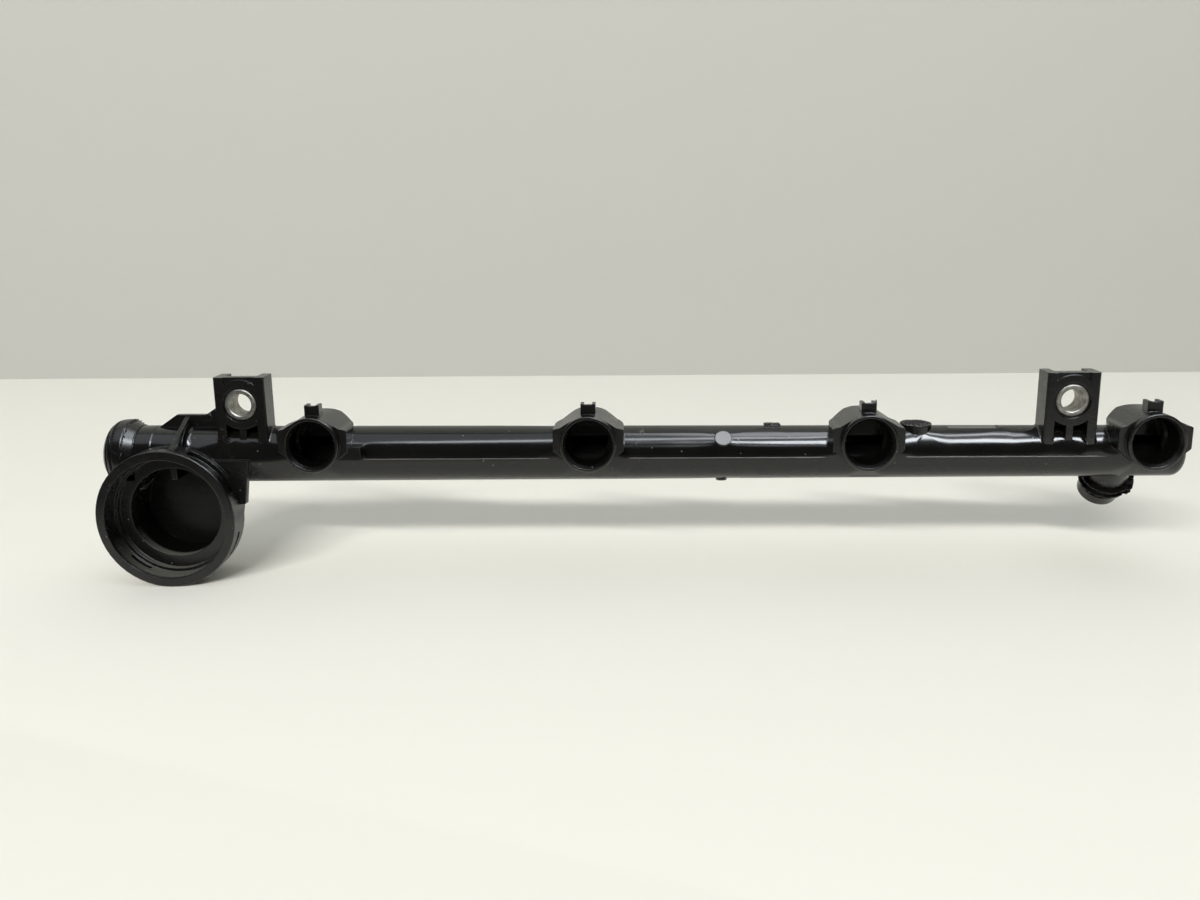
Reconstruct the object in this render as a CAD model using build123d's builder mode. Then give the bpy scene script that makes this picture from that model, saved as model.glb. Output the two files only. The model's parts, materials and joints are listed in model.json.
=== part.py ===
from build123d import *
import os
from math import acos, atan2, cos, hypot, radians, sin, sqrt, tan

os.makedirs("parts", exist_ok=True)

# Four-cylinder fuel rail. Lengths are in millimetres and angles in degrees.
# The row's origin is midway between the two bolts, on the seat face of their bushes.
# X runs along the rail, the ports open towards -Y and +Z is up.
# Sizes along the rail count from the first port, heights count from the tube's axis,
# and a reach is a distance in front of the tube's axis.

# Injector ports
port_count = 4
port_pitch = 88.0
port_height = 5.8
port_reach = 15.0
port_ring_radius = 8.95
port_ring_proud = 2.0
port_ring_round = 0.5
port_bore_radius = 7.15
port_lead_in_step = 0.85
port_lead_in_depth = 1.4
port_shoulder_step = 1.0
port_shoulder_depth = 0.8
port_total_depth = 13.0
port_half_width = 11.2
port_straight_length = 8.3
port_back_round = 5.0
ear_top = 10.3
ear_bottom = 3.3
ear_round = 0.7
roof_slope = 32.0
roof_kink_half_width = 9.0

# Clip lug on the roof of each port
lug_width = 4.7
lug_front_reach = 10.75
lug_plate_thickness = 1.3
lug_depth = 3.9
lug_plate_top = 17.8
lug_prong_top = 18.05
lug_prong_width = 1.05

# Tube and the fuel gallery inside it, both with draft towards the closed right end
tube_left = -60.0
tube_right = 277.3
tube_radius = 9.1
tube_draft = 0.0033
tube_end_round = 3.0
gallery_radius = 6.6
gallery_end_wall = 3.2
weld_flange_radius = 9.5
weld_flange_length = 5.5
weld_flange_chamfer = 0.3

# Mounting brackets
bolt_offset = 24.1
bolt_spacing = (port_count - 1) * port_pitch
bolt_height = 17.75
bolt_seat_reach = 7.5
bracket_width = 16.5
bracket_top = 26.6
bracket_depth = 8.6
bracket_wall = 3.1
bracket_edge_round = 0.6
front_plate_thickness = 3.7
front_plate_recess = 0.7
boss_radius = 8.1
boss_rear_radius = 6.7
front_core_depth = 6.1
middle_rib_width = 2.3
bracket_foot = 3.0
bracket_foot_round = 0.6
bush_outer_radius = 5.05
bush_inner_radius = 3.55
bush_chamfer = 0.35
bush_fit = 0.03
bush_lead_in_step = 0.65
bush_lead_in_depth = 0.6

# Regulator cup
cup_offset = -47.4
cup_drop = 17.4
cup_front_reach = 19.0
cup_back_reach = 9.2
cup_shoulder_reach = 7.7
cup_shoulder_wall = 2.2
cup_edge_round = 0.5
cup_bore_radius = 14.9
cup_seat_width = 3.7
cup_step_radius = cup_bore_radius + cup_seat_width
cup_step_depth = 9.1
cup_mouth_step = 1.0
cup_mouth_radius = cup_step_radius + cup_mouth_step
cup_mouth_depth = 7.0
cup_rim_wall = 2.9
cup_radius = cup_mouth_radius + cup_rim_wall
cup_wall = 2.5
cup_length = 26.0
cup_tail_chamfer = 1.5
cup_rib_width = 2.0
cup_rib_reach = 8.5

# Clip slots through the wall of the cup, a notch on its top and the window for the clip's back.
# Their angles are about the cup's axis, from +X towards +Z.
clip_slot_angles = (-137.0, -36.0)
clip_slot_sweep = 22.0
clip_slot_setback = 4.4
clip_slot_width = 1.6
clip_notch_angle = 86.0
clip_notch_sweep = 8.0
clip_notch_depth = 1.2
clip_window_angle = 20.0
clip_window_sweep = 50.0
clip_window_depth = 1.6
clip_window_setback = 2.6
clip_window_width = 4.1

# Web beside the cup and web over the tube, with the gusset between that one and the cup
side_web_reach = 10.8
side_web_thickness = 2.5
side_web_right = -21.9
side_web_taper = 1.8
side_web_length = 14.3
top_web_thickness = 2.2
top_web_left = -54.0
top_web_height = 13.3
top_web_slope_run = 6.1
top_web_rise_start = -38.1
top_web_rise = 3.7
gusset_offset = -44.3
gusset_thickness = 1.6
gusset_front_reach = 16.3

# Pad beside the first port
pad_right = 15.3
pad_bottom = 0.4
pad_top = 4.7
pad_reach = 12.8

# Welded inlet stub, pointing down and back from the tube
inlet_offset = 258.8
inlet_tilt = 40.0
inlet_boss_radius = 6.6
inlet_boss_length = 13.0
inlet_passage_radius = 3.2
inlet_bore_radius = 3.75
inlet_collar_radius = 6.9
inlet_collar_length = 2.8
inlet_lip_radius = 7.9
inlet_lip_thickness = 0.4
inlet_neck_radius = 5.6
inlet_neck_length = 2.4
inlet_band_radius = 6.5
inlet_band_length = 4.2
inlet_chamfer = 0.8

# Welded end cap
cap_radius = 11.6
cap_rim_radius = 9.5
cap_rim_length = 3.6
cap_band_length = 1.4
cap_dome_length = 7.6
cap_dome_mid_angle = 45.0
cap_hollow_length = 6.0
cap_groove_count = 2
cap_groove_setback = 2.0
cap_groove_pitch = 1.9
cap_groove_width = 0.8
cap_groove_depth = 0.5
cap_spigot_length = 3.0
cap_spigot_wall = 1.6
cap_fit = 0.1
cap_relief_clearance = 0.3

# Mould marks on the tube
stamp_offset = 131.0
stamp_angle = 43.0
stamp_radius = 2.7
stamp_proud = 0.15
ejector_radius = 1.8
ejector_proud = 0.6
gate_offset = 147.2
gate_length = 5.2
gate_width = 3.2
gate_proud = 0.5
round_pad_offset = 193.2
round_pad_reach = 0.5
round_pad_radius = 5.0
round_pad_proud = 0.9
recess_start = 203.3
recess_length = 16.0
recess_width = 5.0
recess_depth = 0.45


def tube_radius_at(x):
    return tube_radius - tube_draft * x


def gallery_radius_at(x):
    return gallery_radius - tube_draft * x


# How closely an edge is matched by its place
edge_match = 0.01

# Planes through the tube's axis at the first port: local x runs along the rail
first_port = Vector(bolt_offset - bolt_spacing / 2, bolt_seat_reach, -bolt_height)
front = Plane(origin=first_port, x_dir=(1, 0, 0), z_dir=(0, -1, 0))
top = Plane(origin=first_port, x_dir=(1, 0, 0), z_dir=(0, 0, 1))
side = Plane(origin=first_port, x_dir=(0, 1, 0), z_dir=(1, 0, 0))
tube_axis = Axis(first_port, (1, 0, 0))

port_places = [(index * port_pitch, 0, 0) for index in range(port_count)]
bolt_places = [(-bolt_offset, 0, 0), (bolt_spacing - bolt_offset, 0, 0)]
flange_reach = port_reach - port_ring_proud

# Half of the flange outline: from the ring's tangent down the roof to the ear, and from
# the ear's lower corner in to the tangent under the ring
roof_x = port_ring_radius * sin(radians(roof_slope))
roof_z = port_height + port_ring_radius * cos(radians(roof_slope))
kink_z = roof_z - (roof_kink_half_width - roof_x) * tan(radians(roof_slope))
ear_drop = port_height - ear_bottom
under_angle = atan2(ear_drop, port_half_width) + acos(
    port_ring_radius / hypot(ear_drop, port_half_width)
)
under_x = port_ring_radius * cos(under_angle)
under_z = port_height - port_ring_radius * sin(under_angle)

with BuildPart() as port_block:
    with BuildSketch(front.offset(flange_reach)) as flange:
        with Locations((0, port_height)):
            Circle(port_ring_radius)
        with BuildLine():
            Polyline(
                (0, port_height),
                (roof_x, roof_z),
                (roof_kink_half_width, kink_z),
                (port_half_width, ear_top),
                (port_half_width, ear_bottom),
                (under_x, under_z),
                close=True,
            )
        make_face()
        mirror(about=Plane.YZ)
        ear_corners = flange.vertices().group_by(Axis.X)
        fillet(ear_corners[0] + ear_corners[-1], ear_round)
    extrude(amount=-(port_straight_length + port_half_width))
    # The plan of the body ends in a half circle behind the straight length
    with BuildSketch(top.offset(port_height - 2 * port_ring_radius)):
        with Locations((0, -(flange_reach - port_straight_length))):
            Circle(port_half_width)
        with Locations((0, -flange_reach)):
            Rectangle(
                2 * port_half_width,
                port_straight_length,
                align=(Align.CENTER, Align.MIN),
            )
    extrude(amount=4 * port_ring_radius, mode=Mode.INTERSECT)
    # Seen from the side, the roof rounds down at the back
    with BuildSketch(side) as side_view:
        with Locations((-flange_reach, port_height - 2 * port_ring_radius)):
            Rectangle(
                port_straight_length + port_half_width,
                3 * port_ring_radius,
                align=(Align.MIN, Align.MIN),
            )
        back_corner = side_view.vertices().group_by(Axis.Y)[-1].sort_by(Axis.X)[-1]
        fillet(back_corner, port_back_round)
    extrude(amount=port_half_width, both=True, mode=Mode.INTERSECT)
    with BuildSketch(front.offset(port_reach)):
        with Locations((0, port_height)):
            Circle(port_ring_radius)
    extrude(amount=-port_ring_proud)
    mouth_edges = port_block.faces().sort_by(Axis.Y)[0].edges()
    fillet(mouth_edges, port_ring_round)
    # Clip lug: a plate across the front and a prong back from each of its sides
    lug_middle = -(lug_front_reach - lug_depth / 2)
    with BuildSketch(top.offset(port_height)):
        with Locations((0, -lug_front_reach)):
            Rectangle(
                lug_width, lug_plate_thickness, align=(Align.CENTER, Align.MIN)
            )
    extrude(amount=lug_plate_top - port_height)
    with BuildSketch(top.offset(port_height)):
        with GridLocations(lug_width - lug_prong_width, 0, 2, 1):
            with Locations((0, lug_middle)):
                Rectangle(lug_prong_width, lug_depth)
    extrude(amount=lug_prong_top - port_height)

# One bracket, modelled over the first port and placed at both bolts
inner_width = bracket_width - 2 * bracket_wall
bracket_back_reach = bolt_seat_reach - bracket_depth
bush_hole_radius = bush_outer_radius + bush_fit

with BuildPart() as bracket:
    with BuildSketch(front.offset(bolt_seat_reach)):
        Rectangle(
            bracket_width, bracket_top, align=(Align.CENTER, Align.MIN)
        )
    extrude(amount=-bracket_depth)
    upright_edges = bracket.edges().filter_by(Axis.Z)
    fillet(upright_edges, bracket_edge_round)
    # The plate between the side walls stands back from the face of the boss
    with BuildSketch(front.offset(bolt_seat_reach)):
        with Locations((0, bracket_foot)):
            Rectangle(
                inner_width, bracket_top, align=(Align.CENTER, Align.MIN)
            )
        with Locations((0, bolt_height)):
            Circle(boss_radius, mode=Mode.SUBTRACT)
    extrude(amount=-front_plate_recess, mode=Mode.SUBTRACT)
    # Lower coring from the front, with a rib left in the middle
    with BuildSketch(front.offset(bolt_seat_reach)):
        Rectangle(inner_width, bolt_height, align=(Align.CENTER, Align.MIN))
        with Locations((0, bolt_height)):
            Circle(boss_radius, mode=Mode.SUBTRACT)
        Rectangle(
            middle_rib_width,
            bolt_height,
            align=(Align.CENTER, Align.MIN),
            mode=Mode.SUBTRACT,
        )
    extrude(amount=-front_core_depth, mode=Mode.SUBTRACT)
    # Upper coring from the back, open at the top
    with BuildSketch(front.offset(bracket_back_reach)):
        with Locations((0, bolt_height)):
            Rectangle(
                inner_width,
                bracket_top - bolt_height,
                align=(Align.CENTER, Align.MIN),
            )
            Circle(boss_rear_radius, mode=Mode.SUBTRACT)
    extrude(amount=bracket_depth - front_plate_thickness, mode=Mode.SUBTRACT)
    with BuildSketch(front.offset(bolt_seat_reach)):
        with Locations((0, bolt_height)):
            Circle(bush_hole_radius)
    extrude(amount=-bracket_depth, mode=Mode.SUBTRACT)
    with BuildSketch(front.offset(bolt_seat_reach)):
        with Locations((0, bolt_height)):
            Circle(bush_outer_radius + bush_lead_in_step)
    extrude(amount=-bush_lead_in_depth, mode=Mode.SUBTRACT)

cup_centre = first_port + Vector(cup_offset, 0, -cup_drop)
cup_plan = Plane(origin=cup_centre, x_dir=(1, 0, 0), z_dir=(0, 0, 1))
cup_axis = Axis(cup_centre, (0, -1, 0))
cup_tail = cup_length - cup_front_reach

with BuildPart() as cup_outside:
    with BuildSketch(cup_plan):
        with BuildLine():
            Polyline(
                (0, -cup_front_reach),
                (cup_radius, -cup_front_reach),
                (cup_radius, -cup_back_reach),
                (cup_step_radius + cup_shoulder_wall, -cup_back_reach),
                (cup_step_radius + cup_shoulder_wall, -cup_shoulder_reach),
                (cup_bore_radius + cup_wall, -cup_shoulder_reach),
                (cup_bore_radius + cup_wall, cup_tail - cup_tail_chamfer),
                (cup_bore_radius + cup_wall - cup_tail_chamfer, cup_tail),
                (0, cup_tail),
                close=True,
            )
        make_face()
    revolve(axis=cup_axis)
    rim_edges = cup_outside.edges().filter_by(GeomType.CIRCLE).filter_by(
        lambda edge: edge.radius > cup_radius - edge_match
    )
    fillet(rim_edges, cup_edge_round)

with BuildPart() as cup_hollow:
    with BuildSketch(cup_plan):
        with BuildLine():
            Polyline(
                (0, -cup_front_reach),
                (cup_mouth_radius, -cup_front_reach),
                (cup_mouth_radius, -cup_front_reach + cup_mouth_depth),
                (cup_step_radius, -cup_front_reach + cup_mouth_depth),
                (cup_step_radius, -cup_front_reach + cup_step_depth),
                (cup_bore_radius, -cup_front_reach + cup_step_depth),
                (cup_bore_radius, cup_tail - cup_wall),
                (0, cup_tail - cup_wall),
                close=True,
            )
        make_face()
    revolve(axis=cup_axis)

# Cutters for the regulator's clip, swept from the cup's +X side about its axis
with BuildPart() as clip_slot:
    with BuildSketch(cup_plan):
        with Locations((cup_step_radius, -cup_front_reach + clip_slot_setback)):
            Rectangle(
                cup_radius, clip_slot_width, align=(Align.MIN, Align.MIN)
            )
    revolve(axis=cup_axis, revolution_arc=clip_slot_sweep)

with BuildPart() as clip_notch:
    with BuildSketch(cup_plan):
        with Locations(
            (cup_radius - clip_notch_depth, -cup_front_reach + clip_slot_setback)
        ):
            Rectangle(
                cup_radius, clip_slot_width, align=(Align.MIN, Align.MIN)
            )
    revolve(axis=cup_axis, revolution_arc=clip_notch_sweep)

with BuildPart() as clip_window:
    with BuildSketch(cup_plan):
        with Locations(
            (cup_radius - clip_window_depth, -cup_front_reach + clip_window_setback)
        ):
            Rectangle(
                cup_radius, clip_window_width, align=(Align.MIN, Align.MIN)
            )
    revolve(axis=cup_axis, revolution_arc=clip_window_sweep)

inlet_origin = first_port + Vector(inlet_offset, 0, 0)
inlet_back = sin(radians(inlet_tilt))
inlet_down = cos(radians(inlet_tilt))
inlet_plane = Plane(
    origin=inlet_origin, x_dir=(1, 0, 0), z_dir=(0, inlet_back, -inlet_down)
)
inlet_section = Plane(
    origin=inlet_origin, x_dir=(1, 0, 0), z_dir=(0, inlet_down, inlet_back)
)
inlet_axis = Axis(inlet_origin, (0, inlet_back, -inlet_down))

with BuildPart() as rail_body:
    # Tube
    with BuildSketch(front):
        flange_end = tube_left + weld_flange_length
        tube_radius_end = tube_radius_at(tube_right)
        with BuildLine():
            outline = Polyline(
                (tube_right, tube_radius_end - tube_end_round),
                (tube_right, 0),
                (tube_left, 0),
                (tube_left, weld_flange_radius),
                (flange_end - weld_flange_chamfer, weld_flange_radius),
                (flange_end, tube_radius_at(flange_end)),
                (tube_right - tube_end_round, tube_radius_end),
            )
            RadiusArc(outline @ 1, outline @ 0, tube_end_round)
        make_face()
    revolve(axis=tube_axis)
    # Ports and brackets
    with Locations(*port_places):
        add(port_block.part)
    with Locations(*bolt_places):
        add(bracket.part)
    # Fillets where the outer sides of the brackets meet the tube
    foot_places = [
        bolt_x + hand * bracket_width / 2
        for bolt_x, bolt_y, bolt_z in bolt_places
        for hand in (-1, 1)
    ]
    foot_edges = rail_body.edges().filter_by(GeomType.CIRCLE).filter_by(
        lambda edge: any(
            abs(edge.arc_center.X - first_port.X - foot_x) < edge_match
            and abs(edge.radius - tube_radius_at(foot_x)) < edge_match
            for foot_x in foot_places
        )
    )
    fillet(foot_edges, bracket_foot_round)
    # Cup, relieved behind its rim for the end cap
    add(cup_outside.part)
    with BuildSketch(side.offset(tube_left)):
        Circle(cap_radius + cap_relief_clearance)
    extrude(amount=-cup_radius, mode=Mode.SUBTRACT)
    # Web beside the cup
    with BuildSketch(front.offset(side_web_reach)):
        with BuildLine():
            Polyline(
                (cup_offset, 0),
                (side_web_right, 0),
                (side_web_right - side_web_taper, -side_web_length),
                (cup_offset, -cup_drop),
                close=True,
            )
        make_face()
    extrude(amount=-side_web_thickness)
    # Web over the tube, rising to the left bracket
    with BuildSketch(front.offset(top_web_thickness / 2)):
        bracket_side = -bolt_offset - bracket_width / 2
        with BuildLine():
            Polyline(
                (top_web_left, 0),
                (top_web_left, weld_flange_radius - weld_flange_chamfer),
                (top_web_left + top_web_slope_run, top_web_height),
                (top_web_rise_start, top_web_height),
                (bracket_side, top_web_height + top_web_rise),
                (bracket_side + bracket_wall, top_web_height + top_web_rise),
                (bracket_side + bracket_wall, 0),
                close=True,
            )
        make_face()
    extrude(amount=-top_web_thickness)
    # Gusset from that web down to the top of the cup
    with BuildSketch(side.offset(gusset_offset)):
        cup_top = cup_radius - cup_drop
        with BuildLine():
            Polyline(
                (0, 0),
                (0, top_web_height),
                (-gusset_front_reach, cup_top),
                (-gusset_front_reach, 0),
                close=True,
            )
        make_face()
    extrude(amount=gusset_thickness / 2, both=True)
    # Pad beside the first port
    with BuildSketch(front.offset(pad_reach)):
        with Locations((0, pad_bottom)):
            Rectangle(pad_right, pad_top - pad_bottom, align=(Align.MIN, Align.MIN))
    extrude(amount=-pad_reach)
    # Boss under the inlet stub
    with BuildSketch(inlet_plane):
        Circle(inlet_boss_radius)
    extrude(amount=inlet_boss_length)
    # Mould marks: stamp, ejector mark, gate vestige and round pad
    stamp_plane = Plane(
        origin=first_port + Vector(stamp_offset, 0, 0),
        x_dir=(1, 0, 0),
        z_dir=(0, -cos(radians(stamp_angle)), sin(radians(stamp_angle))),
    )
    with BuildSketch(stamp_plane):
        Circle(stamp_radius)
    extrude(amount=tube_radius_at(stamp_offset) + stamp_proud)
    with BuildSketch(top):
        with Locations((stamp_offset, 0)):
            Circle(ejector_radius)
    extrude(amount=-(tube_radius_at(stamp_offset) + ejector_proud))
    with BuildSketch(top):
        with Locations((gate_offset, 0)):
            Rectangle(gate_length, gate_width)
    extrude(amount=tube_radius_at(gate_offset) + gate_proud)
    with BuildSketch(top):
        with Locations((round_pad_offset, -round_pad_reach)):
            Circle(round_pad_radius)
    extrude(amount=tube_radius_at(round_pad_offset) + round_pad_proud)
    # Fuel gallery
    with BuildSketch(front):
        gallery_right = tube_right - gallery_end_wall
        with BuildLine():
            Polyline(
                (tube_left, 0),
                (tube_left, gallery_radius_at(tube_left)),
                (gallery_right, gallery_radius_at(gallery_right)),
                (gallery_right, 0),
                close=True,
            )
        make_face()
    revolve(axis=tube_axis, mode=Mode.SUBTRACT)
    # Port bores, each down to where its wall meets the tapered gallery
    shoulder_radius = port_bore_radius - port_shoulder_step
    for port_x, port_y, port_z in port_places:
        wall_end = -gallery_radius_at(port_x)
        with BuildSketch(top.offset(port_height)):
            with BuildLine():
                Polyline(
                    (port_x, -port_reach),
                    (port_x + port_bore_radius + port_lead_in_step, -port_reach),
                    (port_x + port_bore_radius, -port_reach + port_lead_in_depth),
                    (port_x + port_bore_radius, wall_end),
                    (port_x + shoulder_radius, wall_end + port_shoulder_depth),
                    (port_x + shoulder_radius, -port_reach + port_total_depth),
                    (port_x, -port_reach + port_total_depth),
                    close=True,
                )
            make_face()
        port_axis = Axis(first_port + Vector(port_x, 0, port_height), (0, -1, 0))
        revolve(axis=port_axis, mode=Mode.SUBTRACT)
    add(cup_hollow.part, mode=Mode.SUBTRACT)
    with BuildSketch(inlet_plane):
        Circle(inlet_passage_radius)
    extrude(amount=inlet_boss_length, mode=Mode.SUBTRACT)
    # Rib across the opening between the gallery and the cup
    with BuildSketch(top.offset(-gallery_radius_at(cup_offset))):
        with Locations((cup_offset, 0)):
            Rectangle(cup_rib_width, 2 * cup_rib_reach)
    extrude(amount=cup_bore_radius - cup_drop + gallery_radius_at(cup_offset) + cup_wall)
    # Clip slots and window
    for angle in clip_slot_angles:
        add(clip_slot.part.rotate(cup_axis, angle), mode=Mode.SUBTRACT)
    add(clip_notch.part.rotate(cup_axis, clip_notch_angle), mode=Mode.SUBTRACT)
    add(clip_window.part.rotate(cup_axis, clip_window_angle), mode=Mode.SUBTRACT)
    # Shallow recess for a marking, on top of the tube
    with BuildSketch(top.offset(tube_radius_at(recess_start) - recess_depth)):
        with Locations((recess_start, 0)):
            Rectangle(
                recess_length, recess_width, align=(Align.MIN, Align.CENTER)
            )
    extrude(amount=tube_radius, mode=Mode.SUBTRACT)
rail_body.part.label = "rail_body"
export_step(rail_body.part, "parts/rail_body.step")

with BuildPart() as bolt_bush_left:
    with BuildSketch(front.offset(bolt_seat_reach)):
        with Locations((-bolt_offset, bolt_height)):
            Circle(bush_outer_radius)
            Circle(bush_inner_radius, mode=Mode.SUBTRACT)
    extrude(amount=-bracket_depth)
    chamfer(bolt_bush_left.edges().filter_by(GeomType.CIRCLE), bush_chamfer)
bolt_bush_left.part.label = "bolt_bush_left"
export_step(bolt_bush_left.part, "parts/bolt_bush_left.step")

with BuildPart() as bolt_bush_right:
    with Locations((bolt_spacing, 0, 0)):
        add(bolt_bush_left.part)
bolt_bush_right.part.label = "bolt_bush_right"
export_step(bolt_bush_right.part, "parts/bolt_bush_right.step")

# The cap butts on the tube's weld flange and its spigot enters the gallery
spigot_radius = gallery_radius_at(tube_left) - cap_fit
dome_start = tube_left - cap_rim_length - cap_band_length

with BuildPart() as end_cap:
    with BuildSketch(front):
        with BuildLine():
            rim = Polyline(
                (tube_left - cap_hollow_length, 0),
                (tube_left - cap_hollow_length, spigot_radius - cap_spigot_wall),
                (tube_left + cap_spigot_length, spigot_radius - cap_spigot_wall),
                (tube_left + cap_spigot_length, spigot_radius),
                (tube_left, spigot_radius),
                (tube_left, cap_rim_radius),
                (tube_left - cap_rim_length, cap_radius),
                (dome_start, cap_radius),
            )
            Spline(
                rim @ 1,
                (
                    dome_start - cap_dome_length * sin(radians(cap_dome_mid_angle)),
                    cap_radius * cos(radians(cap_dome_mid_angle)),
                ),
                (dome_start - cap_dome_length, 0),
                tangents=[(-1, 0), (0, -1)],
            )
            Line((dome_start - cap_dome_length, 0), rim @ 0)
        make_face()
    revolve(axis=tube_axis)
    for index in range(cap_groove_count):
        groove_x = dome_start - cap_groove_setback - index * cap_groove_pitch
        drop = (dome_start - groove_x) / cap_dome_length
        groove_radius = cap_radius * sqrt(1 - drop**2) - cap_groove_depth
        with BuildSketch(front):
            with Locations((groove_x, groove_radius)):
                Rectangle(
                    cap_groove_width, cap_radius, align=(Align.MIN, Align.MIN)
                )
        revolve(axis=tube_axis, mode=Mode.SUBTRACT)
end_cap.part.label = "end_cap"
export_step(end_cap.part, "parts/end_cap.step")

# The stub butts on the end of its boss, with a lip of weld flash on both sides of its collar
collar_start = inlet_boss_length + inlet_lip_thickness
collar_end = inlet_boss_length + inlet_collar_length
lip_start = collar_end - inlet_lip_thickness
band_start = collar_end + inlet_neck_length
band_end = band_start + inlet_band_length

with BuildPart() as inlet_fitting:
    with BuildSketch(inlet_section):
        with BuildLine():
            Polyline(
                (inlet_bore_radius, inlet_boss_length),
                (inlet_lip_radius, inlet_boss_length),
                (inlet_lip_radius, collar_start),
                (inlet_collar_radius, collar_start),
                (inlet_collar_radius, lip_start),
                (inlet_lip_radius, lip_start),
                (inlet_lip_radius, collar_end),
                (inlet_neck_radius, collar_end),
                (inlet_neck_radius, band_start),
                (inlet_band_radius, band_start),
                (inlet_band_radius, band_end - inlet_chamfer),
                (inlet_band_radius - inlet_chamfer, band_end),
                (inlet_bore_radius, band_end),
                close=True,
            )
        make_face()
    revolve(axis=inlet_axis)
inlet_fitting.part.label = "inlet_fitting"
export_step(inlet_fitting.part, "parts/inlet_fitting.step")
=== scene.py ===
import json
from math import atan2, cos, degrees, pi, radians, sin

import bmesh
import bpy
from mathutils import Matrix, Vector


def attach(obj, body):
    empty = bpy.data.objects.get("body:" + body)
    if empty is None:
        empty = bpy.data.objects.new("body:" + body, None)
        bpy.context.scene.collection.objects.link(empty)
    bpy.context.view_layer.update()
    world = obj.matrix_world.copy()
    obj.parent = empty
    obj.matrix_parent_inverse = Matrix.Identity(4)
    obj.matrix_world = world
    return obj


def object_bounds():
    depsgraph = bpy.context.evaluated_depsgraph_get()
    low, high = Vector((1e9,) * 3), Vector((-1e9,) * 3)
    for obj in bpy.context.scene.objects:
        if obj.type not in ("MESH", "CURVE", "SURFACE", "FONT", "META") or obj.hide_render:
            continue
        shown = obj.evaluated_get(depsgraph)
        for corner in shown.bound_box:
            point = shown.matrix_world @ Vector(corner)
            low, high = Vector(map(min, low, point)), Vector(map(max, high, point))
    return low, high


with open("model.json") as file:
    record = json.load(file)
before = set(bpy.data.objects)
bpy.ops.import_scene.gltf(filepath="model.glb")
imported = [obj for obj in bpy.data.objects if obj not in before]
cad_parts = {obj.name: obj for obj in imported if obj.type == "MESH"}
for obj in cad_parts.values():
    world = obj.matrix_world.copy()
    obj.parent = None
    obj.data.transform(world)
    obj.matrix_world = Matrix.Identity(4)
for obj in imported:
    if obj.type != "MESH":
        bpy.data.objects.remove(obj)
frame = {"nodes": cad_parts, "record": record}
cad_low, cad_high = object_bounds()

# Places of the rail, from the frame's own mounts, in metres
mounts = {mount["name"]: mount for mount in frame["record"]["mounts"]}
ports = [Vector(mounts[f"port_{number}"]["pos_m"]) for number in (1, 2, 3, 4)]
port_pitch = ports[1].x - ports[0].x
bolt_spread = mounts["bolts"]["dims"]["spacing_x_mm"] / 2000
bush_places = {"bolt_bush_left": -bolt_spread, "bolt_bush_right": bolt_spread}
stub_place = Vector(mounts["inlet"]["pos_m"])
stub_way = Vector(mounts["inlet"]["axis"])
cup_place = Vector(mounts["regulator_seat"]["pos_m"])

# The tube: its axis runs along X, and its radius falls off towards the closed end
PORT_RISE = 0.0058
TUBE_RADIUS = 0.0091
TUBE_DRAFT = 0.0033
tube_y = 0.0075
tube_z = ports[0].z - PORT_RISE
flange_x = ports[0].x - 0.060
closed_x = ports[0].x + 0.2743

# Painted shade in the bores and painted light on the upward faces in the cup's mouth: reach from
# the axis, and start on Y
PORT_SHADE_RADIUS = 0.0075
PORT_SHADE_START = -0.0058
CUP_SHADE_RADIUS = 0.0152
CUP_SHADE_START = 0.0
MOUTH_LIGHT_RADIUS = 0.0198
MOUTH_LIGHT_START = -0.0113

# Marks on the tube
STAMP_OFFSET = 0.131
STAMP_ANGLE = 43.0
STAMP_RADIUS = 0.0027
pad_x = ports[0].x + 0.1932
PAD_SHIFT = 0.0005
PAD_CRUST_RISE = 0.00065
gate_x = ports[0].x + 0.1472
GATE_RISE = 0.0003
LINE_PORT_GAP = 0.0128
LINE_CAP_GAP = 0.006

# Third port's lug, the brackets' feet and the gusset, from the port, the bolt and the tube
LUG_SHIFT = 0.0022
LUG_CHIP_Y = -0.0025
LUG_RISE = 0.0183
FOOT_REACH = 0.00495
FOOT_FRONT = 0.0068
FOOT_RISE = 0.0058
gusset_side = ports[0].x - 0.0435

# Faces whose normal rises more than this look up
UPWARD = 0.9

# Plastic
PLASTIC_IOR = 1.5
OPEN_SPECULAR = 0.5
# Painted shade: weaker reflections deep in the bores
BORE_SHADE_SPECULAR = 0.16
MARK_ROUGHER = 0.2
PLASTIC_DARK = (0.0022, 0.0022, 0.0023)
PLASTIC_PALE = (0.0055, 0.0053, 0.0048)
SCRATCH_COLOR = (0.09, 0.088, 0.08)
STAMP_COLOR = (0.03, 0.03, 0.028)
# Painted light: the pale grey laid on the upward faces inside the cup's mouth
MOUTH_PAINTED_LIGHT_COLOR = (0.12, 0.12, 0.105)
# Painted shade: the near-black laid deep inside the ports and the cup
BORE_PAINTED_SHADE_COLOR = (0.0035, 0.0035, 0.0032)
POLISHED_ROUGHNESS = (0.11, 0.19)
DULL_ROUGHNESS = (0.20, 0.31)
FLASH_PALER = 20.0

# Steel
STEEL_DARK = (0.24, 0.23, 0.2)
STEEL_PALE = (0.4, 0.39, 0.355)

# Camera: the eye of the photograph and the way it looks
EYE = Vector((-0.0039, -0.3443, 0.0643))
LOOK_LEFT = 2.07
LOOK_DOWN = 13.01
ROLL = -0.68
SENSOR_WIDTH = 36.0
LENS = 33.06

# Studio
FLOOR_SIZE = 4.0
WALL_DISTANCE = 0.413
FLOOR_COLOR = (0.88, 0.88, 0.82)
WALL_COLOR = (0.45, 0.455, 0.425)
SHEET_ROUGHNESS = 0.75
ROOM_COLOR = (0.10, 0.105, 0.12)
ROOM_STRENGTH = 0.25
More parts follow.
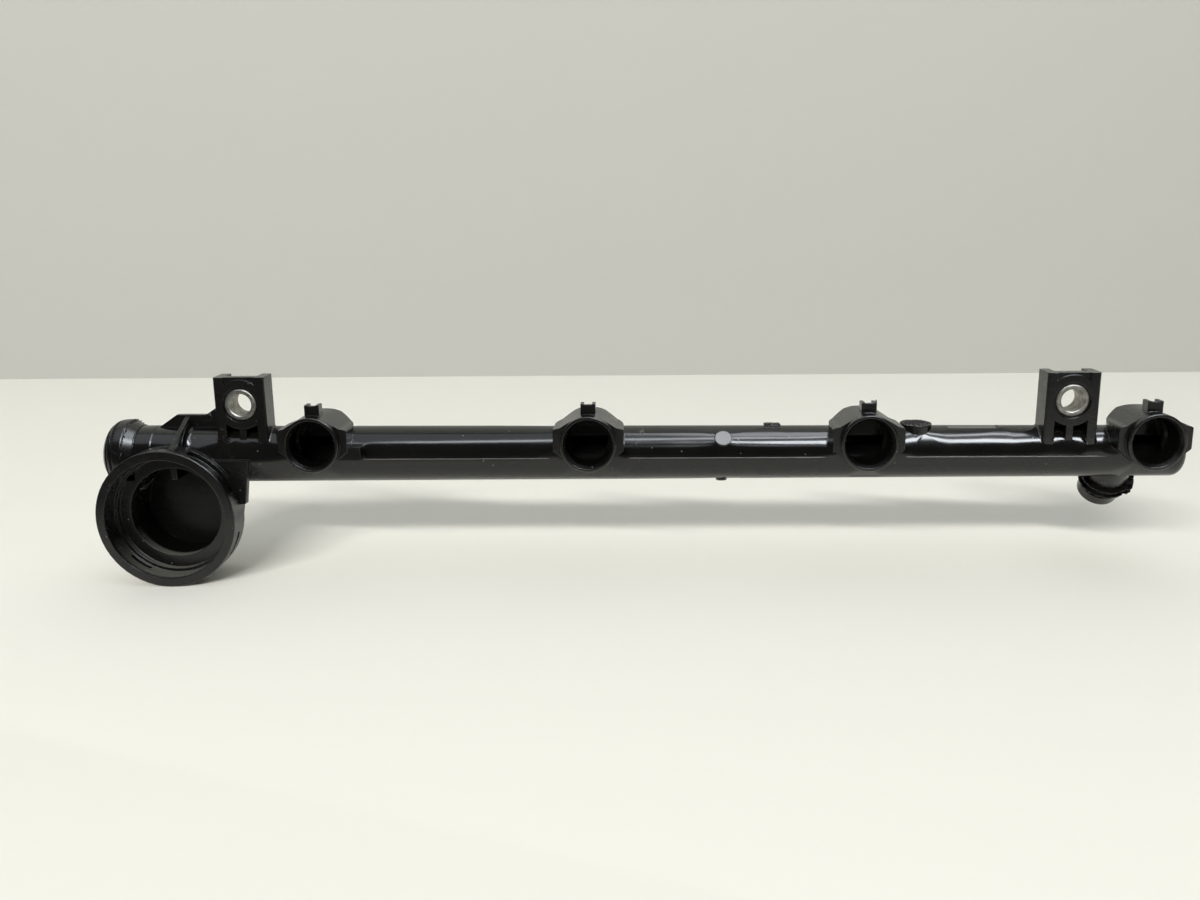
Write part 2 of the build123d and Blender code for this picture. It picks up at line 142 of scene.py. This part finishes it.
# Painted shade: the dark sheet that reflections see in front of the rail
FRONT_SHADE_COLOR = (0.02, 0.02, 0.02)
FLAG_NEAR = 0.165
FLAG_TURN = -20.0
FLAG_SIZE = 3.0
FLAG_RISE = 0.001
CEILING = 1.05
SKY_LIGHT = (0.9, 0.95, 1.0)
COOL_LIGHT = (0.97, 0.98, 1.0)
WARM_LIGHT = (1.0, 0.98, 0.94)


def tube_radius_at(x):
    """Radius of the tube at a place along the rail."""
    return TUBE_RADIUS - TUBE_DRAFT * (x - ports[0].x)


def node(tree, kind, place=(0, 0), **values):
    """A shader node with its properties and its unlinked inputs set."""
    made = tree.nodes.new(kind)
    made.location = place
    for name, value in values.items():
        if hasattr(made, name):
            setattr(made, name, value)
        else:
            made.inputs[name.replace("_", " ").title()].default_value = value
    return made


def new_material(name):
    """A new material with its tree and its shader."""
    material = bpy.data.materials.new(name)
    material.use_nodes = True
    tree = material.node_tree
    return material, tree, tree.nodes["Principled BSDF"]


def ramp(tree, value, start, end, low=0.0, high=1.0, place=(0, 0)):
    """A value that goes from low to high while another goes from start to end."""
    made = node(tree, "ShaderNodeMapRange", place)
    made.inputs["From Min"].default_value = start
    made.inputs["From Max"].default_value = end
    made.inputs["To Min"].default_value = low
    made.inputs["To Max"].default_value = high
    tree.links.new(value, made.inputs["Value"])
    return made.outputs[0]


def joined(tree, operation, first, second, place=(0, 0)):
    """A math operation on a value and another value or a number."""
    made = node(tree, "ShaderNodeMath", place, operation=operation)
    tree.links.new(first, made.inputs[0])
    if isinstance(second, float):
        made.inputs[1].default_value = second
    else:
        tree.links.new(second, made.inputs[1])
    return made.outputs[0]


def noise(tree, vector, place, **values):
    """A noise texture's value."""
    made = node(tree, "ShaderNodeTexNoise", place, **values)
    tree.links.new(vector, made.inputs["Vector"])
    return made.outputs["Fac"]


def coloured(tree, under, color, mask, place=(0, 0)):
    """A colour laid over another one where a mask is 1."""
    made = node(tree, "ShaderNodeMix", place, data_type="RGBA")
    made.inputs[7].default_value = (*color, 1)
    tree.links.new(mask, made.inputs[0])
    tree.links.new(under, made.inputs[6])
    return made.outputs[2]


def blended(tree, first, second, place, share=None, mask=None):
    """Two values blended by a fixed share of the second or by a mask."""
    made = node(tree, "ShaderNodeMix", place, data_type="FLOAT")
    tree.links.new(first, made.inputs[2])
    tree.links.new(second, made.inputs[3])
    if mask is None:
        made.inputs[0].default_value = share
    else:
        tree.links.new(mask, made.inputs[0])
    return made.outputs[0]


def bumped(tree, height, normal, place, strength, distance):
    """A normal with a height laid on it."""
    made = node(tree, "ShaderNodeBump", place, strength=strength, distance=distance)
    tree.links.new(height, made.inputs["Height"])
    tree.links.new(normal, made.inputs["Normal"])
    return made.outputs["Normal"]


def split_axes(tree, vector, place):
    """The X, Y and Z of a vector."""
    made = node(tree, "ShaderNodeSeparateXYZ", place)
    tree.links.new(vector, made.inputs["Vector"])
    return made.outputs["X"], made.outputs["Y"], made.outputs["Z"]


def reach_from(tree, across, rise, place):
    """Distance from an axis, from the two coordinates square to it."""
    out = node(tree, "ShaderNodeCombineXYZ", place)
    tree.links.new(across, out.inputs["X"])
    tree.links.new(rise, out.inputs["Z"])
    reach = node(tree, "ShaderNodeVectorMath", (place[0] + 200, place[1]), operation="LENGTH")
    tree.links.new(out.outputs["Vector"], reach.inputs[0])
    return reach.outputs["Value"]


def polished_half(tree, where):
    """1 on the polished upper half of the tube, 0 below its parting line and off the tube."""
    near = 0.0003
    far = 0.0007
    just_below = -0.00015
    just_above = 0.0001
    _, y, z = split_axes(tree, where, (-2600, 600))
    across = joined(tree, "SUBTRACT", y, tube_y, (-2400, 700))
    above = joined(tree, "SUBTRACT", z, tube_z, (-2400, 500))
    reach = reach_from(tree, across, above, (-2200, 700))
    on_tube = ramp(tree, reach, TUBE_RADIUS + far, TUBE_RADIUS + near, place=(-1800, 700))
    upper = ramp(tree, above, just_below, just_above, place=(-1800, 450))
    return joined(tree, "MULTIPLY", on_tube, upper, (-1600, 600))


def inside_bore(tree, across, rise, depth, radius, starts, height):
    """1 near the axis of a bore along Y and behind the place where it starts, 0 elsewhere."""
    edge = 0.0002
    fade = 0.0015
    reach = reach_from(tree, across, rise, (-2200, height))
    inside = ramp(tree, reach, radius + edge, radius, place=(-1800, height))
    deep = ramp(tree, depth, starts, starts + fade, place=(-1800, height - 250))
    return joined(tree, "MULTIPLY", inside, deep, (-1600, height))


def painted_shade_in_bores(tree, where):
    """Mask for painted shade: 1 deep inside the ports and the cup, which hardly any light
    reaches, 0 elsewhere.
    """
    x, y, z = split_axes(tree, where, (-2800, -200))
    wrapped = node(tree, "ShaderNodeMath", (-2600, -200), operation="WRAP")
    wrapped.inputs[1].default_value = ports[0].x + port_pitch / 2
    wrapped.inputs[2].default_value = ports[0].x - port_pitch / 2
    tree.links.new(x, wrapped.inputs[0])
    port_across = joined(tree, "SUBTRACT", wrapped.outputs[0], ports[0].x, (-2400, -200))
    port_rise = joined(tree, "SUBTRACT", z, ports[0].z, (-2400, -300))
    in_port = inside_bore(
        tree, port_across, port_rise, y, PORT_SHADE_RADIUS, PORT_SHADE_START, -200
    )
    cup_across = joined(tree, "SUBTRACT", x, cup_place.x, (-2400, -700))
    cup_rise = joined(tree, "SUBTRACT", z, cup_place.z, (-2400, -800))
    in_cup = inside_bore(tree, cup_across, cup_rise, y, CUP_SHADE_RADIUS, CUP_SHADE_START, -700)
    return joined(tree, "MAXIMUM", in_port, in_cup, (-1400, -400))


def painted_light_in_mouth(tree, where):
    """Mask for painted light: 1 on the upward faces of the lower inside of the cup's mouth, which
    are painted paler as if lit, 0 elsewhere.
    """
    steep = 0.35
    flat = 0.95
    x, y, z = split_axes(tree, where, (-2800, -1200))
    across = joined(tree, "SUBTRACT", x, cup_place.x, (-2400, -1200))
    rise = joined(tree, "SUBTRACT", z, cup_place.z, (-2400, -1300))
    in_mouth = inside_bore(tree, across, rise, y, MOUTH_LIGHT_RADIUS, MOUTH_LIGHT_START, -1200)
    surface = node(tree, "ShaderNodeNewGeometry", (-2800, -1600))
    _, _, rising = split_axes(tree, surface.outputs["Normal"], (-2600, -1600))
    upward = ramp(tree, rising, steep, flat, place=(-2400, -1600))
    return joined(tree, "MULTIPLY", in_mouth, upward, (-1400, -1200))


def stamped_spot(tree, where):
    """1 on the flat round stamp on the tube, 0 elsewhere."""
    edge = 0.0001
    turn = radians(STAMP_ANGLE)
    x = ports[0].x + STAMP_OFFSET
    reach = tube_radius_at(x)
    away = node(tree, "ShaderNodeVectorMath", (-2000, 1000), operation="DISTANCE")
    away.inputs[1].default_value = (x, tube_y - cos(turn) * reach, tube_z + sin(turn) * reach)
    tree.links.new(where, away.inputs[0])
    distance = away.outputs["Value"]
    return ramp(tree, distance, STAMP_RADIUS + edge, STAMP_RADIUS - edge, place=(-1800, 1000))


def hair_scratches(tree, where):
    """1 on short hair scratches, in a few patches only, 0 elsewhere."""
    turned = node(tree, "ShaderNodeMapping", (-1400, -300))
    turned.inputs["Rotation"].default_value = (0.3, 0.5, 0.7)
    turned.inputs["Scale"].default_value = (1, 0.2, 1)
    tree.links.new(where, turned.inputs["Vector"])
    lines = noise(
        tree, turned.outputs["Vector"], (-1200, -300), scale=210.0, detail=1.0, distortion=0.3
    )
    thin = node(tree, "ShaderNodeMath", (-1000, -300), operation="COMPARE")
    thin.inputs[1].default_value = 0.5
    thin.inputs[2].default_value = 0.0022
    tree.links.new(lines, thin.inputs[0])
    patches = noise(tree, where, (-1200, -550), scale=55.0, detail=1.0)
    patch_mask = ramp(tree, patches, 0.6, 0.7, high=0.6, place=(-1000, -550))
    return joined(tree, "MULTIPLY", thin.outputs[0], patch_mask, (-800, -400))


def dust_grains(tree, where):
    """1 on grains of dust, here and there, 0 elsewhere."""
    grains = node(tree, "ShaderNodeTexVoronoi", (-1200, -800), scale=260.0)
    tree.links.new(where, grains.inputs["Vector"])
    return ramp(tree, grains.outputs["Distance"], 0.07, 0.045, place=(-1000, -800))


def black_plastic(name, paler=1.0):
    """Black glass-filled plastic: polished on the upper half of the tube, duller elsewhere."""
    material, tree, shader = new_material(name)
    links = tree.links
    shader.inputs["IOR"].default_value = PLASTIC_IOR
    where = node(tree, "ShaderNodeTexCoord", (-3000, 0)).outputs["Object"]

    # Flow streaks and clouds that vary the gloss
    stretched = node(tree, "ShaderNodeMapping", (-1400, 300))
    stretched.inputs["Scale"].default_value = (0.15, 1, 1)
    links.new(where, stretched.inputs["Vector"])
    streaks = noise(tree, stretched.outputs["Vector"], (-1200, 300), scale=420.0, detail=4.0)
    clouds = noise(tree, where, (-1200, 0), scale=70.0, detail=3.0)
    uneven = blended(tree, streaks, clouds, (-1000, 150), share=0.45)
    polished_gloss = ramp(tree, uneven, 0.3, 0.7, *POLISHED_ROUGHNESS, place=(-800, 250))
    dull_gloss = ramp(tree, uneven, 0.3, 0.7, *DULL_ROUGHNESS, place=(-800, 0))
    polished = polished_half(tree, where)
    gloss = blended(tree, dull_gloss, polished_gloss, (-600, 150), mask=polished)
    scratches = hair_scratches(tree, where)
    marks = joined(tree, "MAXIMUM", scratches, dust_grains(tree, where), (-600, -500))
    rough = node(tree, "ShaderNodeMath", (-200, 0), operation="MULTIPLY_ADD")
    rough.inputs[1].default_value = MARK_ROUGHER
    links.new(marks, rough.inputs[0])
    links.new(gloss, rough.inputs[2])
    links.new(rough.outputs[0], shader.inputs["Roughness"])

    # Colour: black, paler where it is marked or stamped, with painted light on the upward faces
    # in the cup's mouth and painted shade deep in the bores
    tone = node(tree, "ShaderNodeMix", (-600, 400), data_type="RGBA")
    tone.inputs[6].default_value = (*(paler * part for part in PLASTIC_DARK), 1)
    tone.inputs[7].default_value = (*(paler * part for part in PLASTIC_PALE), 1)
    links.new(clouds, tone.inputs[0])
    worn = coloured(tree, tone.outputs[2], SCRATCH_COLOR, marks, (-450, 400))
    stamped = coloured(tree, worn, STAMP_COLOR, stamped_spot(tree, where), (-300, 400))
    # Painted light: the upward faces inside the cup's mouth made paler, as if lit
    mouth_lit = coloured(tree, stamped, MOUTH_PAINTED_LIGHT_COLOR, painted_light_in_mouth(tree, where), (-150, 400))
    # Painted shade: darker colour and weaker reflections deep inside the ports and the cup
    deep = painted_shade_in_bores(tree, where)
    shaded = coloured(tree, mouth_lit, BORE_PAINTED_SHADE_COLOR, deep, (0, 400))
    links.new(shaded, shader.inputs["Base Color"])
    mirror = ramp(tree, deep, 0.0, 1.0, OPEN_SPECULAR, BORE_SHADE_SPECULAR, place=(0, -200))
    links.new(mirror, shader.inputs["Specular IOR Level"])

    # Edges worn a little round, fine fibre grain and flow streaks in the surface
    edges = node(tree, "ShaderNodeBevel", (-600, -900), samples=6, radius=0.0004)
    fibres = noise(tree, where, (-800, -1100), scale=2600.0, detail=3.0)
    grained = bumped(tree, fibres, edges.outputs["Normal"], (-400, -800), 0.1, 0.00003)
    streaked = bumped(tree, streaks, grained, (-200, -700), 0.12, 0.00008)
    links.new(streaked, shader.inputs["Normal"])
    return material


def turned_steel(name, centre):
    """Turned steel, dull and stained, its turning marks round the bush's own axis."""
    material, tree, shader = new_material(name)
    links = tree.links
    shader.inputs["Metallic"].default_value = 1.0
    where = node(tree, "ShaderNodeTexCoord", (-1200, 0))
    centred = node(tree, "ShaderNodeMapping", (-1000, 0))
    centred.inputs["Location"].default_value = (-centre, 0, 0)
    links.new(where.outputs["Object"], centred.inputs["Vector"])
    rings = node(
        tree,
        "ShaderNodeTexWave",
        (-800, -200),
        wave_type="RINGS",
        rings_direction="Y",
        scale=900.0,
        distortion=1.5,
        detail=2.0,
    )
    links.new(centred.outputs["Vector"], rings.inputs["Vector"])
    stains = noise(tree, centred.outputs["Vector"], (-800, 200), scale=520.0, detail=5.0)
    tone = node(tree, "ShaderNodeValToRGB", (-500, 200))
    tone.color_ramp.elements[0].position = 0.35
    tone.color_ramp.elements[0].color = (*STEEL_DARK, 1)
    tone.color_ramp.elements[1].position = 0.62
    tone.color_ramp.elements[1].color = (*STEEL_PALE, 1)
    links.new(stains, tone.inputs["Fac"])
    links.new(tone.outputs["Color"], shader.inputs["Base Color"])
    rough = ramp(tree, stains, 0.0, 1.0, 0.62, 0.4, place=(-500, 0))
    links.new(rough, shader.inputs["Roughness"])
    edges = node(tree, "ShaderNodeBevel", (-500, -300), samples=6, radius=0.0002)
    turned = bumped(
        tree, rings.outputs["Fac"], edges.outputs["Normal"], (-300, -200), 0.2, 0.00005
    )
    links.new(turned, shader.inputs["Normal"])
    return material


def plain_material(name, color):
    """A plain matt surface, for the sheets of the studio."""
    material, _, shader = new_material(name)
    shader.inputs["Base Color"].default_value = (*color, 1)
    shader.inputs["Roughness"].default_value = SHEET_ROUGHNESS
    return material


def choose(kind, test):
    """Select the vertices, edges or faces of the edited piece whose middle passes a test."""
    bpy.ops.mesh.select_mode(type={"verts": "VERT", "edges": "EDGE", "faces": "FACE"}[kind])
    bpy.ops.mesh.select_all(action="DESELECT")
    piece = bpy.context.object
    mesh = bmesh.from_edit_mesh(piece.data)
    for element in getattr(mesh, kind):
        if kind == "verts":
            spot = element.co
        elif kind == "edges":
            spot = (element.verts[0].co + element.verts[1].co) / 2
        else:
            spot = element.calc_center_median()
        element.select_set(test(spot, element))
    bmesh.update_edit_mesh(piece.data)


def roughen(offset, seed):
    """Move the selected vertices about at random."""
    bpy.ops.transform.vertex_random(offset=offset, uniform=1.0, normal=0.0, seed=seed)


def start_block(size):
    """A block at the origin, open in edit mode."""
    bpy.ops.mesh.primitive_cube_add(size=1, scale=size)
    bpy.ops.object.transform_apply(scale=True)
    bpy.ops.object.mode_set(mode="EDIT")


def start_ring(inner, outer, thickness, segments):
    """A flat ring in the XY plane, open in edit mode."""
    bpy.ops.mesh.primitive_circle_add(vertices=segments, radius=outer, fill_type="NGON")
    bpy.ops.object.mode_set(mode="EDIT")
    bpy.ops.mesh.select_mode(type="FACE")
    bpy.ops.mesh.select_all(action="SELECT")
    bpy.ops.mesh.inset(thickness=(outer - inner) * cos(radians(180 / segments)))
    bpy.ops.mesh.delete(type="FACE")
    bpy.ops.mesh.select_all(action="SELECT")
    bpy.ops.mesh.extrude_region_move(TRANSFORM_OT_translate={"value": (0, 0, thickness)})
    bpy.ops.mesh.select_all(action="SELECT")
    bpy.ops.mesh.normals_make_consistent(inside=False)


def finish_piece(name, place, turn=(0, 0, 0), finish=None):
    """Put the edited piece in its place, in its mesh, and let it ride on the rail."""
    bpy.ops.mesh.select_all(action="SELECT")
    bpy.ops.mesh.normals_make_consistent(inside=False)
    piece = bpy.context.object
    if bmesh.from_edit_mesh(piece.data).calc_volume(signed=True) < 0:
        bpy.ops.mesh.flip_normals()
    bpy.ops.object.mode_set(mode="OBJECT")
    piece.name = name
    piece.location = place
    piece.rotation_euler = turn
    bpy.ops.object.transform_apply(location=True, rotation=True, scale=True)
    bpy.ops.object.shade_smooth_by_angle(angle=radians(40))
    piece.data.materials.append(finish or plastic)
    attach(piece, "root")
    bpy.ops.object.select_all(action="DESELECT")


def parting_line(name, start, end, side, seed):
    """The raised line where the mould halves met, along one stretch of the tube's side."""
    width = 0.00032
    depth = 0.0005
    proud = 0.00013
    step = 0.0012
    ragged = 0.00004
    end_band = 0.0001
    length = end - start
    middle = (start + end) / 2

    def on_outer_edge(spot, edge):
        return side * spot.y > 0 and abs(spot.z) > width / 3 and abs(spot.x) < length / 3

    start_block((length, depth, width))
    choose("edges", on_outer_edge)
    bpy.ops.mesh.bevel(offset=width / 3, segments=2)
    choose("edges", lambda spot, edge: edge.calc_length() > length / 2)
    bpy.ops.mesh.subdivide(number_cuts=max(4, round(length / step)))
    choose("verts", lambda spot, vert: side * spot.y > depth / 4)
    roughen(ragged, seed)
    choose("faces", lambda spot, face: abs(spot.x) > length / 2 - end_band)
    bpy.ops.transform.translate(value=(0, -side * proud, 0))
    place = (middle, tube_y + side * (tube_radius_at(middle) + proud - depth / 2), tube_z)
    finish_piece(name, place, (0, 0, -side * TUBE_DRAFT), flash_plastic)


def weld_flash(name, x, inner, outer, ragged, seed):
    """A thin ragged ring of weld flash round the tube's axis."""
    thickness = 0.0005
    start_ring(inner, outer, thickness, segments=90)
    choose("verts", lambda spot, vert: spot.xy.length > (inner + outer) / 2)
    roughen(ragged, seed)
    finish_piece(name, (x - thickness / 2, tube_y, tube_z), (0, radians(90), 0))


def cap_teeth(name, x, radius):
    """A ring of small teeth, by which the cap was held and spun when it was welded."""
    tooth_count = 60
    tooth_height = 0.0004
    ring_depth = 0.0005
    ring_width = 0.00075
    outer_band = 0.0001
    ragged = 0.00006
    turn = 180 / tooth_count

    def is_tooth(spot, face):
        step = degrees(atan2(spot.y, spot.x)) // turn
        return spot.xy.length > radius - outer_band and int(step) % 2 == 0

    start_ring(radius - ring_depth, radius, ring_width, segments=2 * tooth_count)
    choose("faces", is_tooth)
    bpy.ops.mesh.extrude_faces_move(TRANSFORM_OT_shrink_fatten={"value": tooth_height})
    roughen(ragged, seed=tooth_count)
    finish_piece(name, (x, tube_y, tube_z), (0, radians(90), 0))


def stub_flash(name, along, seed):
    """A lip of flash round the stub's collar, torn into a wing on its +X side."""
    inner = 0.0066
    outer = 0.0080
    thickness = 0.0003
    rim = outer - 0.0005
    ragged = 0.00022
    wing_ragged = 0.00025
    wing_start = 2
    wing_end = 48
    wing_growth = 1.12

    def on_rim(spot, vert):
        return spot.xy.length > rim

    def on_wing(spot, vert):
        return on_rim(spot, vert) and wing_start < degrees(atan2(spot.y, spot.x)) < wing_end

    start_ring(inner, outer, thickness, segments=84)
    choose("verts", on_rim)
    roughen(ragged, seed)
    choose("verts", on_wing)
    bpy.ops.transform.resize(value=(wing_growth, wing_growth, 1), center_override=(0, 0, 0))
    roughen(wing_ragged, seed + 1)
    finish_piece(name, stub_place + stub_way * along, (atan2(-stub_way.y, stub_way.z), 0, 0))


def crust(name, radius, place, height, seed):
    """A rough broken crust on a round pad."""
    depth = 0.0006
    ring_count = 3
    rim = radius * 0.97
    bpy.ops.mesh.primitive_cylinder_add(vertices=40, radius=radius, depth=depth)
    bpy.ops.object.mode_set(mode="EDIT")
    choose("faces", lambda spot, face: face.normal.z > UPWARD)
    for _ in range(ring_count):
        bpy.ops.mesh.inset(thickness=radius / (ring_count + 1))
    bpy.ops.mesh.poke()
    choose("faces", lambda spot, face: face.normal.z > UPWARD)
    bpy.ops.mesh.subdivide(number_cuts=4)
    choose("verts", lambda spot, vert: spot.z > 0 and spot.xy.length < rim)
    roughen(height, seed)
    finish_piece(name, place, finish=flash_plastic)


def broken_gate(name, size, place, seed):
    """The stub left where the sprue was broken off."""
    start_block(size)
    bpy.ops.mesh.select_all(action="SELECT")
    bpy.ops.mesh.subdivide(number_cuts=6)
    choose("verts", lambda spot, vert: spot.z > 0)
    roughen(size[2] / 2, seed)
    finish_piece(name, place)


def flash_chip(name, size, place, turn, seed):
    """A small thin chip of flash, wide at its root and torn at its tip."""
    tip = (0.4, 0.5, 1)
    start_block(size)
    choose("faces", lambda spot, face: face.normal.z > UPWARD)
    bpy.ops.transform.resize(value=tip)
    bpy.ops.mesh.select_all(action="SELECT")
    bpy.ops.mesh.subdivide(number_cuts=3)
    roughen(min(size) / 4, seed)
    finish_piece(name, place, turn)


def root_fillet(name, x, size, first, last):
    """The round between a standing wall and the tube, spun about the tube's axis."""
    sunk = 0.0003
    radius = tube_radius_at(x)
    bpy.ops.mesh.primitive_plane_add(size=size, rotation=(radians(90), 0, 0))
    bpy.ops.object.transform_apply(rotation=True)
    bpy.ops.object.mode_set(mode="EDIT")
    choose("verts", lambda spot, vert: spot.x > 0 and spot.z > 0)
    bpy.ops.mesh.bevel(affect="VERTICES", offset=size * 0.93, segments=6, profile=0.1)
    bpy.ops.mesh.select_mode(type="FACE")
    bpy.ops.mesh.select_all(action="SELECT")
    bpy.ops.transform.translate(value=(size / 2, 0, radius + size / 2 - sunk))
    bpy.ops.transform.rotate(value=-radians(first), orient_axis="X", center_override=(0, 0, 0))
    bpy.ops.mesh.spin(steps=20, angle=-radians(last - first), center=(0, 0, 0), axis=(1, 0, 0))
    bpy.ops.mesh.select_all(action="SELECT")
    bpy.ops.mesh.remove_doubles(threshold=0.000001)
    finish_piece(name, (x, tube_y, tube_z))


def stage_sheet(name, size, place, turn, color):
    """A flat sheet of the studio."""
    bpy.ops.mesh.primitive_plane_add(size=size, location=place, rotation=turn)
    sheet = bpy.context.object
    sheet.name = name
    sheet.data.materials.append(plain_material(name, color))
    bpy.ops.object.select_all(action="DESELECT")
    return sheet


def area_lamp(name, place, size, power, color, glossy=False, diffuse=True):
    """A soft box that faces the rail."""
    lamp = bpy.data.lights.new(name, "AREA")
    lamp.shape = "RECTANGLE"
    lamp.size, lamp.size_y = size
    lamp.energy = power
    lamp.color = color
    box = bpy.data.objects.new(name, lamp)
    bpy.context.scene.collection.objects.link(box)
    box.location = place
    box.rotation_euler = (-Vector(place)).to_track_quat("-Z", "Y").to_euler()
    box.visible_glossy = glossy
    box.visible_diffuse = diffuse


def mirrored_lamp(name, place, size, brightness):
    """A lamp that only shows in reflections. Its power follows its area."""
    power = brightness * size[0] * size[1] * pi
    area_lamp(name, place, size, power, SKY_LIGHT, glossy=True, diffuse=False)


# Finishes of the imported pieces
bpy.ops.object.select_all(action="DESELECT")
plastic = black_plastic("black_plastic")
flash_plastic = black_plastic("flash_plastic", FLASH_PALER)
for name in ("rail_body", "end_cap", "inlet_fitting"):
    frame["nodes"][name].material_slots[0].material = plastic
for name, centre in bush_places.items():
    frame["nodes"][name].material_slots[0].material = turned_steel(name + "_steel", centre)

# Parting lines between the ports on the front, and all along the back
for index in range(3):
    parting_line(
        f"parting_line_{index + 1}",
        start=ports[index].x + LINE_PORT_GAP,
        end=ports[index + 1].x - LINE_PORT_GAP,
        side=-1,
        seed=index,
    )
parting_line("parting_line_back", start=flange_x + LINE_CAP_GAP, end=closed_x, side=1, seed=5)

# Weld flash and teeth on the end cap
weld_flash(
    "cap_flash_root", x=flange_x - 0.0002, inner=0.0090, outer=0.0098, ragged=0.00015, seed=3
)
weld_flash(
    "cap_flash_rim", x=flange_x - 0.0030, inner=0.0105, outer=0.0114, ragged=0.0004, seed=8
)
cap_teeth("cap_teeth_outer", x=flange_x - 0.0070, radius=0.0107)
cap_teeth("cap_teeth_inner", x=flange_x - 0.0089, radius=0.0095)

# Flash on the collar of the inlet stub
stub_flash("stub_flash_upper", along=-0.0048, seed=11)
stub_flash("stub_flash_lower", along=-0.0022, seed=14)

# Crust on the round pad and the broken gate on top of the tube
crust(
    "pad_crust",
    radius=0.0049,
    place=(pad_x, tube_y - PAD_SHIFT, tube_z + tube_radius_at(pad_x) + PAD_CRUST_RISE),
    height=0.00035,
    seed=2,
)
broken_gate(
    "gate_stub",
    size=(0.0048, 0.0029, 0.0006),
    place=(gate_x, tube_y, tube_z + tube_radius_at(gate_x) + GATE_RISE),
    seed=6,
)

# Chips of flash on the third port's lug and inside the feet of the brackets
flash_chip(
    "lug_flash",
    size=(0.0003, 0.0016, 0.0010),
    place=(ports[2].x + LUG_SHIFT, LUG_CHIP_Y, tube_z + LUG_RISE),
    turn=(0, 0.1, 0),
    seed=4,
)
for name, centre in bush_places.items():
    for hand, side_name in ((-1, "left"), (1, "right")):
        flash_chip(
            f"foot_flash_{name[10:]}_{side_name}",
            size=(0.0008, 0.0022, 0.0012),
            place=(centre + hand * FOOT_REACH, tube_y - FOOT_FRONT, tube_z + FOOT_RISE),
            turn=(0.4, -0.5 * hand, 0),
            seed=9 + hand,
        )

# Round between the gusset and the tube
root_fillet("gusset_fillet", gusset_side, size=0.0022, first=8, last=75)

# Floor, wall and the dark sheet in front, which only reflections show: painted shade, darkening
# what the rail mirrors of the floor in front of it
floor_height = cad_low[2]
floor_middle = WALL_DISTANCE - FLOOR_SIZE / 2
stage_sheet("floor", FLOOR_SIZE, (0, floor_middle, floor_height), (0, 0, 0), FLOOR_COLOR)
stage_sheet("wall", FLOOR_SIZE, (0, WALL_DISTANCE, floor_height), (radians(90), 0, 0), WALL_COLOR)
flag_turn = radians(FLAG_TURN)
flag_back = Vector((sin(flag_turn), -cos(flag_turn), 0)) * FLAG_SIZE / 2
flag_place = Vector((0, -FLAG_NEAR, floor_height + FLAG_RISE)) + flag_back
flag = stage_sheet("front_flag", FLAG_SIZE, flag_place, (0, 0, flag_turn), FRONT_SHADE_COLOR)
flag.visible_camera = False
flag.visible_diffuse = False
flag.visible_shadow = False

# Lamps that only show in reflections, and the two that light the scene
mirrored_lamp("ceiling_panel", (0.0, -0.25, CEILING), size=(2.2, 0.9), brightness=1.1)
mirrored_lamp("ceiling_strip", (0.2, -0.24, CEILING), size=(1.5, 0.12), brightness=10.0)
mirrored_lamp("right_window", (0.5, -0.62, CEILING), size=(0.85, 0.28), brightness=22.0)
mirrored_lamp("over_strip", (0.17, 0.08, CEILING), size=(0.35, 0.3), brightness=5.0)
mirrored_lamp("front_window", (0.22, -1.5, 1.15), size=(0.35, 0.15), brightness=3.0)
area_lamp("ceiling_soft", (0.1, 0.0, 1.4), size=(2.6, 2.2), power=11.2, color=COOL_LIGHT)
area_lamp("front_lamp", (-0.6, -2.2, 1.35), size=(1.5, 0.12), power=78.0, color=WARM_LIGHT)
world = bpy.data.worlds.new("room")
world.use_nodes = True
world.node_tree.nodes["Background"].inputs["Color"].default_value = (*ROOM_COLOR, 1)
world.node_tree.nodes["Background"].inputs["Strength"].default_value = ROOM_STRENGTH
bpy.context.scene.world = world
bpy.context.scene.view_settings.view_transform = "Standard"

# Camera
lens = bpy.data.cameras.new("camera")
lens.sensor_width = SENSOR_WIDTH
lens.lens = LENS
lens.clip_start = 0.01
camera = bpy.data.objects.new("camera", lens)
bpy.context.scene.collection.objects.link(camera)
camera.matrix_world = (
    Matrix.Translation(EYE)
    @ Matrix.Rotation(radians(LOOK_LEFT), 4, "Z")
    @ Matrix.Rotation(radians(90 - LOOK_DOWN), 4, "X")
    @ Matrix.Rotation(radians(ROLL), 4, "Z")
)
bpy.context.scene.camera = camera
